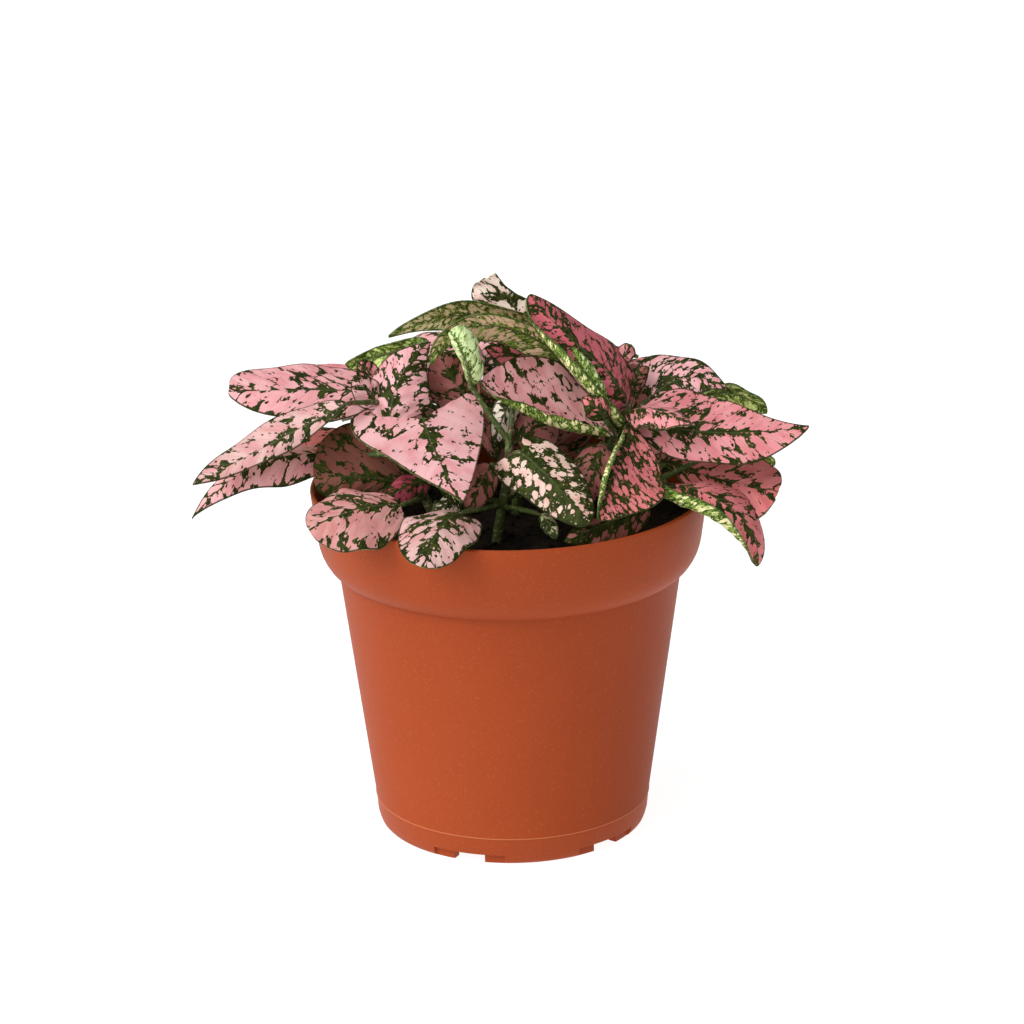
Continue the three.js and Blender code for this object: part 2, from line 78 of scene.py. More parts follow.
# Notches and drain holes in the foot, at azimuths from the front
NOTCH_AZIMUTHS = (-19.5, 45, 117, 189, 261)
RECESS_RADIUS = FOOT_RADIUS + 0.1
RECESS_WIDTH = 32
RECESS_HEIGHT = 2.8
SLOT_RADIUS = FOOT_RADIUS - 6
SLOT_WIDTH = 14
SLOT_HEIGHT = 2.3
NOTCH_OUTSIDE = SEAM_RADIUS + 3
NOTCH_BOTTOM = -2
NOTCH_STEPS = 12
NOTCH_ROUNDING = 0.5
DRAIN_RADIUS = 4
DRAIN_CIRCLE = 24
DRAIN_STEPS = 32

# The soil
SOIL_TOP = 83
SOIL_GAP = 0.35
SOIL_STEPS = 120
SOIL_RINGS = 44
LUMP_HEIGHT = 1.3
LUMPS_PER_METRE = 90
LUMP_FRACTAL = (1.0, 2.0, 5)
CRUMBS = 520
CRUMB_SIZES = (0.35, 1.2)
CRUMB_FREE_EDGE = 3
CRUMB_RISE = 0.3
CRUMB_SEED = 11

# Stems and stalks
STEM_RADIUS = 1.6
STEM_TAPER = 0.35
STEM_STEPS = 24
STALK_RADIUS = 0.65
STALK_FLARE = 0.25
STALK_STEPS = 10
LOWEST_STALK = 35
STALK_DROP = 4
STALK_LEAD = 2
STALK_BEND = 0.35
RIB_STEPS = 14
RIB_START = 0.04
RIB_END = 0.93
RIB_GIRTH = 0.85
RIB_TIP_GIRTH = 0.12
RIB_CLEARANCE = 0.05
RIB_FULL_WIDTH = 18

# Blades
BLADE_THICKNESS = 0.42
BLADE_ROWS = 40
BLADE_COLUMNS = 22
ROW_CROWDING = 0.6
BEND_STEPS = 12
CURL_SPREAD = 1.2
VEIN_LEAN = 1.1
VEIN_SPACING = 4.6
PUCKER = 0.22
PUCKER_WIDTH = 8
MARGIN_WAVES = 2
WAVE_SHIFT = 0.37

# The foliage's material slots, and the seed of its patterns
UPPER_SIDE, UNDERSIDE, STALK = range(3)
FOLIAGE_SEED = 5

# Speckles on the blades
SPOT_SCALE = 0.38
SMALL_SPOT_SCALE = 1.0
SMALL_SPOT_REACH = 0.5
DOT_SCALE = 0.55
DOT_RADIUS = 0.18
DOT_LAYER = (0.0, 0.0, 50.0)
SPOT_DRIFT = (1.9, 1.9, 0.0)
SPOT_SOFTNESS = 0.012
HALVES_APART = 9.0
CLUMPING = 0.9
RAGGEDNESS = 0.22
SPOTS_PER_COVER = 4.3  # found by trial: how fast pink spots of a growing radius hide the green
PATTERN_SEEDS = 40

# Green zones and lines on the blades, from where each is full to where it ends
RIB_ZONE = (0.2, 3.2)
RIB_ZONE_END = 1.15
RIB_ZONE_GREEN = 0.25
MARGIN_ZONE = (0.2, 2.2)
MARGIN_ZONE_GREEN = 0.10
BORDER = (0.30, 0.55)
RIB_LINE = (0.15, 0.42)
RIB_LINE_END = 1.08
VEIN_LINE = (0.02, 0.06)
VEIN_LENGTH = (2.0, 9.0)
VEIN_STRENGTH = 0.6

# Camera, fitted to the pot's outline in the photograph
IMAGE_WIDTH = 1024
FOCAL_PIXELS = 4541.73
SENSOR = 36
CAMERA_ELEVATION = math.radians(19.33)
CAMERA_ROLL = -0.01129
CAMERA_DISTANCE = 1.2
CAMERA_AIM = Vector((0.655, 0, 85.87))

# Floor and light
FLOOR_REACH = 6
FLOOR_GREY = (0.25, 0.25, 0.25)
FLOOR_GLOW = 0.92
WHITE = (1, 1, 1)
SKY_STRENGTH = 0.36


# Shader expressions

class Value:
    """A socket's value, which takes part in sums."""

    def __init__(self, shader, socket):
        self.shader = shader
        self.socket = socket

    def maths(self, operation, *values):
        return self.shader.node("ShaderNodeMath", {"operation": operation}, *values)

    def __add__(self, other):
        return self.maths("ADD", self, other)

    __radd__ = __add__

    def __mul__(self, other):
        return self.maths("MULTIPLY", self, other)

    __rmul__ = __mul__

    def __sub__(self, other):
        return self.maths("SUBTRACT", self, other)

    def __rsub__(self, other):
        return self.maths("SUBTRACT", other, self)

    def __truediv__(self, other):
        return self.maths("DIVIDE", self, other)

    def __rtruediv__(self, other):
        return self.maths("DIVIDE", other, self)

    def __abs__(self):
        return self.maths("ABSOLUTE", self)

    def least(self, other):
        return self.maths("MINIMUM", self, other)

    def most(self, other):
        return self.maths("MAXIMUM", self, other)

    def fraction(self):
        return self.maths("FRACT", self)


class Shader:
    """A material whose nodes are made by calls."""

    def __init__(self, name, **fixed):
        self.material = bpy.data.materials.new(name)
        self.material.use_nodes = True
        self.tree = self.material.node_tree
        self.surface = self.tree.nodes["Principled BSDF"]
        self.feed(**fixed)

    def make(self, kind, settings, sockets):
        """A node from its type, its settings, and the values or links of its sockets."""
        made = self.tree.nodes.new(kind)
        for key, setting in settings.items():
            setattr(made, key, setting)
        for key, value in sockets.items():
            self.put(made.inputs[key], value)
        return made

    def node(self, kind, settings=None, *places, out=0, **named):
        """One output of a node whose sockets are given in their order or by name."""
        sockets = dict(enumerate(places))
        sockets.update((key.replace("_", " "), value) for key, value in named.items())
        return Value(self, self.make(kind, settings or {}, sockets).outputs[out])

    def put(self, socket, value):
        if isinstance(value, Value):
            self.tree.links.new(value.socket, socket)
        elif socket.type == "RGBA" and len(value) == 3:
            socket.default_value = (*value, 1)
        else:
            socket.default_value = value

    def feed(self, **inputs):
        for key, value in inputs.items():
            self.put(self.surface.inputs[key.replace("_", " ")], value)

    def attribute(self, name, out="Fac"):
        return self.node("ShaderNodeAttribute", {"attribute_name": name}, out=out)

    def mix(self, factor, first, second):
        """A colour between two, by a factor from 0 to 1, through the colour sockets of a Mix node."""
        made = self.make("ShaderNodeMix", {"data_type": "RGBA"}, {0: factor, 6: first, 7: second})
        return Value(self, made.outputs[2])

    def step(self, value, low, high):
        """0 below low, 1 above high, and smooth between."""
        settings = {"interpolation_type": "SMOOTHSTEP"}
        return self.node("ShaderNodeMapRange", settings, value, low, high, 0.0, 1.0)

    def fade(self, value, near, far):
        """1 below near, 0 above far, and smooth between."""
        return self.step(value, far, near)

    def noise(self, where, scale, detail=2.0, roughness=0.5, out=0):
        return self.node("ShaderNodeTexNoise", None, out=out, Vector=where, Scale=scale, Detail=detail,
                         Roughness=roughness)

    def nearest(self, where, scale):
        """How far it is to the nearest of a cloud of random points."""
        return self.node("ShaderNodeTexVoronoi", None, Vector=where, Scale=scale)

    def vector(self, operation, *values):
        return self.node("ShaderNodeVectorMath", {"operation": operation}, *values)

    def parts(self, vector):
        made = self.make("ShaderNodeSeparateXYZ", {}, {0: vector})
        return [Value(self, output) for output in made.outputs]

    def uv(self, name):
        return self.parts(self.node("ShaderNodeUVMap", {"uv_map": name}))

    def on_object(self):
        return self.node("ShaderNodeTexCoord", out="Object")

    def bump(self, height, distance, strength):
        return self.node("ShaderNodeBump", None, Strength=strength, Distance=distance, Height=height)


# Colours, all linear

PINKS = {
    "white": (0.93, 0.84, 0.70),
    "ivory": (0.84, 0.62, 0.52),
    "pale": (0.86, 0.48, 0.49),
    "soft": (0.92, 0.48, 0.49),
    "rose": (0.80, 0.33, 0.34),
    "coral": (0.76, 0.24, 0.24),
    "deep": (0.66, 0.17, 0.20),
    "magenta": (0.44, 0.075, 0.12),
    "faint": (0.73, 0.46, 0.43),
    "muted": (0.66, 0.33, 0.30),
    # painted shade: a dark pink for the leaves inside the plant, where shadow falls
    "dusk": (0.42, 0.16, 0.14),
    # painted shade: dark brown for a pink leaf that lies in shadow under the leaves above it
    "brown": (0.27, 0.105, 0.075),
    "leafy": (0.55, 0.60, 0.33),
}
BACKS = {
    "cream": (0.88, 0.80, 0.42),
    "blush": (0.85, 0.58, 0.38),
    "pale_green": (0.72, 0.86, 0.44),
    "lime": (0.80, 0.90, 0.32),
}
DEEPER_PINK = (0.90, 0.70, 0.72)
LEAF_GREEN = (0.018, 0.026, 0.004)
LEAF_GREEN_LIGHT = (0.044, 0.060, 0.008)
MIDRIB_GREEN = (0.075, 0.095, 0.035)
UNDER_GREEN = (0.042, 0.082, 0.011)
UNDER_GREEN_LIGHT = (0.25, 0.36, 0.06)
STEM_GREEN = (0.070, 0.112, 0.022)
STEM_BLUSH = (0.11, 0.045, 0.028)
STEM_FLECK = (0.45, 0.42, 0.22)
POT_TERRACOTTA = (0.32, 0.049, 0.010)
POT_TERRACOTTA_LIGHT = (0.37, 0.061, 0.013)
POT_SPECK = (0.60, 0.20, 0.10)
# painted highlight: the light line along the mould seam's ridge
POT_SEAM_HIGHLIGHT = (0.68, 0.25, 0.10)
SOIL_BLACK = (0.006, 0.004, 0.003)
SOIL_BROWN = (0.030, 0.017, 0.010)
SOIL_FIBRE = (0.070, 0.038, 0.020)


# Materials

def speckles(shader, fineness):
    """Where a blade is green: what is left between pink spots that run together along the veins.

    It gives the green, the blade's border, the place on the blade that patterns follow, and the veins.
    """
    along, across, _ = shader.uv("blade")
    share, side, _ = shader.uv("share")
    grain = shader.attribute("grain") * fineness
    off_rib = abs(across)
    to_margin = off_rib * (1.0 / abs(side) - 1.0)
    lean = math.atan2(1, VEIN_LEAN)
    down_vein = along * math.cos(lean) + off_rib * math.sin(lean)
    over_vein = off_rib * math.cos(lean) - along * math.sin(lean)
    half = shader.attribute("seed") + shader.step(across, -0.01, 0.01) * HALVES_APART
    place = shader.node("ShaderNodeCombineXYZ", None, down_vein / (grain * shader.attribute("stretch")),
                        over_vein / grain, half)

    drift = shader.noise(place, scale=0.7, detail=3.0, roughness=0.6, out="Color")
    spot_place = shader.vector("MULTIPLY_ADD", drift, SPOT_DRIFT, place)
    dot_place = shader.vector("ADD", spot_place, DOT_LAYER)
    by_rib = shader.fade(off_rib / (RIB_ZONE_END - share), *RIB_ZONE) * shader.attribute("ribbing")
    by_margin = shader.fade(to_margin, *MARGIN_ZONE)
    clumps = (0.5 - shader.noise(place, scale=0.16)) * CLUMPING
    full_reach = shader.attribute("reach") + clumps
    reach = full_reach - by_rib * RIB_ZONE_GREEN - by_margin * MARGIN_ZONE_GREEN
    spots = shader.nearest(spot_place, SPOT_SCALE) - reach
    small_spots = shader.nearest(spot_place, SMALL_SPOT_SCALE) - reach * SMALL_SPOT_REACH
    dots = DOT_RADIUS - shader.nearest(dot_place, DOT_SCALE)
    ragged = shader.noise(place, scale=1.9, roughness=0.6) * RAGGEDNESS - RAGGEDNESS / 2
    off_spots = spots.least(small_spots * SPOT_SCALE).most(dots) + ragged
    green = shader.step(off_spots, -SPOT_SOFTNESS, SPOT_SOFTNESS)
    border = shader.fade(to_margin, *BORDER)

    off_vein = abs(((along - off_rib * VEIN_LEAN) / VEIN_SPACING).fraction() - 0.5)
    vein_line = shader.fade(off_vein, *VEIN_LINE) * shader.fade(off_rib, *VEIN_LENGTH)
    rib_line = shader.fade(off_rib / (RIB_LINE_END - share), *RIB_LINE)
    return green, border, place, rib_line.most(vein_line * VEIN_STRENGTH)


def leaf_upper():
    shader = Shader("leaf_upper", Roughness=0.55, Specular_IOR_Level=0.08)
    green, border, place, lines = speckles(shader, fineness=1.0)
    tone = shader.attribute("tone", "Color")
    patches = shader.step(shader.noise(place, scale=0.25), 0.35, 0.7)
    pink = shader.mix(patches, tone, shader.vector("MULTIPLY", tone, DEEPER_PINK))
    shade = shader.step(shader.noise(place, scale=0.6), 0.4, 0.65)
    dark = shader.mix(shade, LEAF_GREEN, LEAF_GREEN_LIGHT)
    dark = shader.mix(lines * 0.55, dark, MIDRIB_GREEN)
    colour = shader.mix(green.most(lines * 0.25), pink, dark)
    colour = shader.mix(border * 0.9, colour, LEAF_GREEN)
    height = shader.noise(place, scale=3.0, roughness=0.6) + green * 0.25 + lines * 0.4
    shader.feed(Base_Color=colour, Normal=shader.bump(height, distance=0.2 * MM, strength=0.35))
    return shader.material


def leaf_under():
    shader = Shader("leaf_under", Roughness=0.55, Specular_IOR_Level=0.14)
    green, border, place, lines = speckles(shader, fineness=0.5)
    tone = shader.attribute("back_tone", "Color")
    patches = shader.step(shader.noise(place, scale=0.3), 0.45, 0.75)
    pale = shader.mix(patches, tone, UNDER_GREEN_LIGHT)
    shade = shader.step(shader.noise(place, scale=0.8), 0.44, 0.62)
    dark = shader.mix(shade, UNDER_GREEN, UNDER_GREEN_LIGHT)
    colour = shader.mix(green, pale, dark)
    colour = shader.mix(lines * 0.5, colour, UNDER_GREEN_LIGHT)
    colour = shader.mix(border * 0.8, colour, UNDER_GREEN)
    height = shader.noise(place, scale=2.4, roughness=0.6) + lines
    shader.feed(Base_Color=colour, Normal=shader.bump(height, distance=0.3 * MM, strength=0.4))
    return shader.material


def stem_skin():
    shader = Shader("stem_skin", Roughness=0.5, Specular_IOR_Level=0.35)
    where = shader.on_object()
    blush = shader.step(shader.noise(where, scale=90.0, detail=3.0, roughness=0.6), 0.50, 0.68)
    fleck = shader.step(shader.noise(where, scale=900.0, roughness=0.6), 0.56, 0.62)
    colour = shader.mix(blush, STEM_GREEN, STEM_BLUSH)
    colour = shader.mix(fleck * 0.5, colour, STEM_FLECK)
    ridges = shader.noise(where, scale=1500.0)
    shader.feed(Base_Color=colour, Normal=shader.bump(ridges, distance=0.2 * MM, strength=0.3))
    return shader.material


def pot_plastic():
    shader = Shader("pot_plastic", Roughness=0.5, Specular_IOR_Level=0.14)
    where = shader.on_object()
    _, _, height = shader.parts(where)
    cloud = shader.noise(where, scale=35.0, detail=4.0, roughness=0.6)
    speck = shader.step(shader.noise(where, scale=1400.0, roughness=0.7), 0.55, 0.75)
    colour = shader.mix(cloud, POT_TERRACOTTA, POT_TERRACOTTA_LIGHT)
    colour = shader.mix(speck * 0.16, colour, POT_SPECK)
    # painted highlight: a lighter line along the modelled ridge of the mould seam, where it catches the
    # light
    seam = shader.fade(abs(height - SEAM_HEIGHT * MM), 0.08 * MM, 0.20 * MM)
    colour = shader.mix(seam * 0.5, colour, POT_SEAM_HIGHLIGHT)
    grain = shader.noise(where, scale=2200.0, detail=3.0, roughness=0.6)
    bump = shader.bump(grain, distance=0.2 * MM, strength=0.25)
    shader.feed(Base_Color=colour, Roughness=0.42 + cloud * 0.16, Normal=bump)
    return shader.material


def potting_soil():
    shader = Shader("potting_soil", Roughness=0.95, Specular_IOR_Level=0.2)
    where = shader.on_object()
    lumps = shader.noise(where, scale=260.0, detail=5.0, roughness=0.65)
    fibre = shader.step(shader.noise(where, scale=900.0, detail=3.0, roughness=0.7), 0.58, 0.7)
    colour = shader.mix(shader.step(lumps, 0.35, 0.7), SOIL_BLACK, SOIL_BROWN)
    colour = shader.mix(fibre * 0.5, colour, SOIL_FIBRE)
    bump = shader.bump(lumps + fibre * 0.5, distance=1.2 * MM, strength=0.9)
    shader.feed(Base_Color=colour, Normal=bump)
    return shader.material


def floor_paint():
    shader = Shader("floor_paint", Roughness=0.8, Specular_IOR_Level=0.1, Base_Color=FLOOR_GREY,
                    Emission_Color=WHITE, Emission_Strength=FLOOR_GLOW)
    return shader.material


# Meshes and pieces

def mesh_from(bm, name):
    mesh = bpy.data.meshes.new(name)
    bm.to_mesh(mesh)
    bm.free()
    return mesh


def placed(name, data):
    """A mesh, light or camera as an object of the scene."""
    holder = bpy.data.objects.new(name, data)
    bpy.context.scene.collection.objects.link(holder)
    return holder


def piece_of(mesh, name, materials, slot, *replaced):
    """A finished piece, which stands for the CAD nodes that it replaces."""
    mesh.shade_smooth()
    mesh.set_sharp_from_angle(angle=SHARP_ANGLE)
    for material in materials:
        mesh.materials.append(material)
    piece = placed(name, mesh)
    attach(piece, "root")
    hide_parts(*replaced)


def spun(bm, profile, steps, angle=FULL_TURN, start=0.0):
    """Turns radius and height pairs, in millimetres, about the pot's axis."""
    turn = Matrix.Rotation(start, 3, "Z")
    verts = [bm.verts.new(AXIS + turn @ Vector((r, 0, z)) * MM) for r, z in profile]
    edges = [bm.edges.new(pair) for pair in zip(verts, verts[1:])]
    bmesh.ops.spin(bm, geom=verts + edges, cent=AXIS, axis=UP, dvec=(0, 0, 0), angle=angle, steps=steps,
                   use_merge=angle == FULL_TURN, use_duplicate=False)
    bmesh.ops.remove_doubles(bm, verts=bm.verts, dist=SAME_PLACE)


# The pot

def outer_shoulder():
    return [
        (CREASE_RADIUS, CREASE_HEIGHT), (46.3, 72.75), (47.3, 73.15), (48.4, 74.2), (49.3, 75.6),
        (50, 77.1), (50.5, 78.8), (50.8, 80.4), (BAND_RADIUS, BAND_FOOT),
    ]


def inner_shoulder():
    return [
        (BAND_RADIUS - WALL, BAND_FOOT), (49.4, 79.4), (48.7, 77.4), (47.8, 76), (46.8, 75.1),
        (45.5, 74.2), (CREASE_RADIUS - WALL, CREASE_HEIGHT + 0.3),
    ]


def pot_profile():
    """The pot's section, from under its floor up the outside, over the rim and down to its floor."""
    foot_inner = FOOT_RADIUS - FOOT_WALL
    foot = [
        (0, FLOOR_UNDER), (foot_inner + 0.2, FLOOR_UNDER), (foot_inner + 0.4, FLOOR_UNDER - 0.3),
        (foot_inner, 0.3), (foot_inner + 0.3, 0), (FOOT_RADIUS - 0.2, 0), (FOOT_RADIUS + 0.45, 0.25),
        (FOOT_RADIUS + 0.95, 0.8), (FOOT_RADIUS + 1.3, 1.7), (FOOT_RADIUS + 1.7, 3.2),
    ]
    seam = [
        (SEAM_RADIUS - 0.05, SEAM_HEIGHT - 0.25), (SEAM_RADIUS + 0.12, SEAM_HEIGHT - 0.1),
        (SEAM_RADIUS + 0.12, SEAM_HEIGHT + 0.1), (SEAM_RADIUS + 0.02, SEAM_HEIGHT + 0.3),
    ]
    crease = [(CREASE_RADIUS - 0.04, CREASE_HEIGHT - 0.9), (CREASE_RADIUS - 0.12, CREASE_HEIGHT - 0.25)]
    rim = [
        (RIM_RADIUS, POT_HEIGHT - 0.55), (RIM_RADIUS - 0.12, POT_HEIGHT - 0.2),
        (RIM_RADIUS - 0.45, POT_HEIGHT), (RIM_RADIUS - WALL + 0.3, POT_HEIGHT),
        (RIM_RADIUS - WALL, POT_HEIGHT - 0.3),
    ]
    floor = [(FOOT_RADIUS + 1.1, FLOOR_TOP + 0.8), (FOOT_RADIUS + 0.3, FLOOR_TOP), (0, FLOOR_TOP)]
    return foot + seam + crease + outer_shoulder() + rim + inner_shoulder() + floor


def notch(inner, azimuth, width, height):
    """A block in the form of a ring's sector, to cut a notch with."""
    bm = bmesh.new()
    half = math.radians(width / 2)
    start = math.radians(azimuth - 90) - half
    section = [
        (inner, NOTCH_BOTTOM), (NOTCH_OUTSIDE, NOTCH_BOTTOM), (NOTCH_OUTSIDE, height), (inner, height),
        (inner, NOTCH_BOTTOM),
    ]
    spun(bm, section, NOTCH_STEPS, 2 * half, start)
    bmesh.ops.holes_fill(bm, edges=bm.edges, sides=4)
    bmesh.ops.recalc_face_normals(bm, faces=bm.faces)
    corners = [edge for edge in bm.edges if len(edge.link_faces) == 2 and edge.calc_face_angle(0) > 1]
    upright = [edge for edge in corners if abs(edge.verts[0].co.z - edge.verts[1].co.z) > 0.1 * MM]
    bmesh.ops.bevel(bm, geom=upright, offset=NOTCH_ROUNDING * MM, segments=3, profile=0.5,
                    affect="EDGES", material=-1)
    return placed("cutter", mesh_from(bm, "cutter"))


def drain(azimuth):
    """A round bar, to cut a drain hole with."""
    bm = bmesh.new()
    turn = math.radians(azimuth - 90)
    place = Vector((DRAIN_CIRCLE * math.cos(turn), DRAIN_CIRCLE * math.sin(turn), FLOOR_TOP - 1))
    bmesh.ops.create_cone(bm, cap_ends=True, segments=DRAIN_STEPS, radius1=DRAIN_RADIUS * MM,
                          radius2=DRAIN_RADIUS * MM, depth=FLOOR_TOP * MM,
                          matrix=Matrix.Translation(AXIS + place * MM))
    return placed("cutter", mesh_from(bm, "cutter"))


def build_pot():
    bm = bmesh.new()
    spun(bm, pot_profile(), POT_STEPS)
    bmesh.ops.recalc_face_normals(bm, faces=bm.faces)
    body = placed("pot_body", mesh_from(bm, "pot_body"))
    cutters = []
    for azimuth in NOTCH_AZIMUTHS:
        cutters.append(notch(RECESS_RADIUS, azimuth, RECESS_WIDTH, RECESS_HEIGHT))
        cutters.append(notch(SLOT_RADIUS, azimuth, SLOT_WIDTH, SLOT_HEIGHT))
        cutters.append(drain(azimuth))
    for cutter in cutters:
        cut = body.modifiers.new("cut", "BOOLEAN")
        cut.object = cutter
        cut.operation = "DIFFERENCE"
        cut.solver = "EXACT"
    graph = bpy.context.evaluated_depsgraph_get()
    whole = bpy.data.meshes.new_from_object(body.evaluated_get(graph))
    for leftover in (body, *cutters):
        bpy.data.objects.remove(leftover)
    piece_of(whole, "nursery_pot", [pot_plastic()], "pot_plastic", "pot")


# The soil

def soil_height(place):
    lumps = noise.fractal(Vector((place.x, place.y, 0)) * LUMPS_PER_METRE, *LUMP_FRACTAL)
    return SOIL_TOP * MM + LUMP_HEIGHT * MM * lumps


def scatter_crumbs(bm, circle):
    """Loose crumbs on the soil, thrown within a circle, most of them small."""
    rng = random.Random(CRUMB_SEED)
    for _ in range(CRUMBS):
        turn = rng.uniform(0, FULL_TURN)
        out = circle * math.sqrt(rng.random()) * MM
        place = AXIS + Vector((out * math.cos(turn), out * math.sin(turn), 0))
        size = rng.uniform(*CRUMB_SIZES) ** 1.5 * MM
        place.z = soil_height(place) + size * CRUMB_RISE
        tumble = rng.uniform(0, 6)
        spin = Matrix.Rotation(tumble, 4, Vector((rng.random(), rng.random(), rng.random() + 0.1)))
        squash = Matrix.Diagonal((rng.uniform(0.6, 1.7), rng.uniform(0.6, 1.2), rng.uniform(0.5, 0.9), 1))
        bmesh.ops.create_icosphere(bm, subdivisions=1, radius=size,
                                   matrix=Matrix.Translation(place) @ spin @ squash)


def build_soil():
    bm = bmesh.new()
    under = FLOOR_TOP + SOIL_GAP
    floor = [(0, under), (FLOOR_RADIUS - SOIL_GAP, under)]
    wall = [(r - SOIL_GAP, z) for r, z in reversed(inner_shoulder())]
    top_radius = BAND_RADIUS - WALL - SOIL_GAP
    rings = [(top_radius * (1 - i / SOIL_RINGS), SOIL_TOP) for i in range(SOIL_RINGS + 1)]
    spun(bm, floor + wall + rings, SOIL_STEPS)
    bmesh.ops.recalc_face_normals(bm, faces=bm.faces)
    for vert in bm.verts:
        if vert.co.z > (SOIL_TOP - 0.01) * MM:
            vert.co.z = soil_height(vert.co)
    scatter_crumbs(bm, top_radius - CRUMB_FREE_EDGE)
    piece_of(mesh_from(bm, "potting_mix"), "potting_mix", [potting_soil()], "potting_soil", "soil")


# Leaves

PLAIN_LEAF = dict(
    fold=-12, curl=-30, roll=1, reach=1, wave=0.8, heart=0, base_shape=0.5, tip_shape=0.8,
    look="rose", back="cream", cover=0.30, back_cover=0.5, grain=0.75, stretch=2.0, ribbing=1.0,
)


def leaf(rib, face, width, **own):
    """A leaf from the points of its midrib, the way its upper side faces and its width.

    Its own settings come before the plain leaf's. Where a name ends in _left or _right, it is for
    that half of the blade. Fold is how far a half turns up at the midrib, in degrees, and curl how
    far it turns further on its way to the margin, later with a higher roll. Reach scales a half's
    width, wave is how far its margin waves, and heart how far it runs back past the base. An end with
    a base_shape or tip_shape above 1 is drawn out, and below 1 full. Look and back are colours, and
    cover and back_cover the shares left green. Grain is the size of the spots, stretch draws them out
    along the veins, and ribbing keeps them off the midrib.
    """
    length = sum((Vector(b) - Vector(a)).length for a, b in zip(rib, rib[1:]))
    return {**PLAIN_LEAF, "rib": rib, "face": face, "width": width, "length": length, **own}


def leaf_around(azimuth, base, tip, width, arch, lean, **own):
    """A leaf that points straight out from the pot's axis."""
    c = math.cos(math.radians(azimuth))
    s = math.sin(math.radians(azimuth))
    middle = ((base[0] + tip[0]) / 2, (base[1] + tip[1]) / 2 + arch)
    rib = [(c * r, s * r, z) for r, z in (base, middle, tip)]
    return leaf(rib, (c * 0.3 - s * lean, s * 0.3 + c * lean, 1), width, **own)


def for_half(row, key, side):
    """A leaf's setting for one half of its blade, or for both where it has only one."""
    return row.get(key + ("_left" if side < 0 else "_right"), row[key])


def spot_reach(cover):
    """How far each spot's rim is from its middle where this share of the blade is left green."""
    return (math.log(1 / cover) / SPOTS_PER_COVER) ** (1 / 3)


def along_rib(rib, share):
    """The point at a share of the way along a smooth line through a few points."""
    points = [Vector(p) for p in rib]
    knots = [0.0]
    for first, second in zip(points, points[1:]):
        knots.append(knots[-1] + (second - first).length)
    place = share * knots[-1]
    result = Vector()
    for i, point in enumerate(points):
        weight = 1.0
        for j, knot in enumerate(knots):
            if j != i:
                weight *= (place - knot) / (knots[i] - knot)
        result += point * weight
    return result


def rib_frame(row, share):
    """The way along the midrib there, the way up from the blade, and the way across it."""
    tangent = (along_rib(row["rib"], share + 0.001) - along_rib(row["rib"], share - 0.001)).normalized()
    up = Vector(row["face"])
    up = (up - up.dot(tangent) * tangent).normalized()
    return tangent, up, tangent.cross(up)


def outline(share, base_shape, tip_shape):
    """A blade's width at a share of its length: 1 where it is widest, and just over 0 at its ends."""
    widest = base_shape / (base_shape + tip_shape)
    top = widest ** base_shape * (1 - widest) ** tip_shape
    from_base = 0.985 * share + 0.012
    to_tip = 1.004 - share
    return from_base ** base_shape * to_tip ** tip_shape / top


def blade_point(row, share, side):
    """A point of a blade, from -1 to 1 across it, and its way over from the midrib."""
    tangent, up, across = rib_frame(row, share)
    width_here = outline(share, for_half(row, "base_shape", side), for_half(row, "tip_shape", side))
    half = row["width"] / 2 * width_here * for_half(row, "reach", side)
    fold = for_half(row, "fold", side)
    curl = for_half(row, "curl", side) * min(1, CURL_SPREAD * width_here)
    roll = for_half(row, "roll", side)
    a = abs(side)
    out = rise = 0
    for s in range(BEND_STEPS):
        slope = math.radians(fold + curl * ((s + 0.5) / BEND_STEPS * a) ** roll)
        out += math.cos(slope) * a * half / BEND_STEPS
        rise += math.sin(slope) * a * half / BEND_STEPS
    wave_place = MARGIN_WAVES * share + (0 if side < 0 else WAVE_SHIFT)
    rise += row["wave"] * math.sin(FULL_TURN * wave_place) * a * a * width_here
    over = math.copysign(a * half, side)
    vein = (row["length"] * share - VEIN_LEAN * abs(over)) / VEIN_SPACING
    pucker = PUCKER * math.cos(FULL_TURN * vein) * min(1, half / PUCKER_WIDTH)
    rise += pucker * math.sin(math.pi * a) ** 0.8
    point = along_rib(row["rib"], share) + math.copysign(out, side) * across + rise * up
    return point - for_half(row, "heart", side) * a * (1 - share) ** 2 * tangent, over


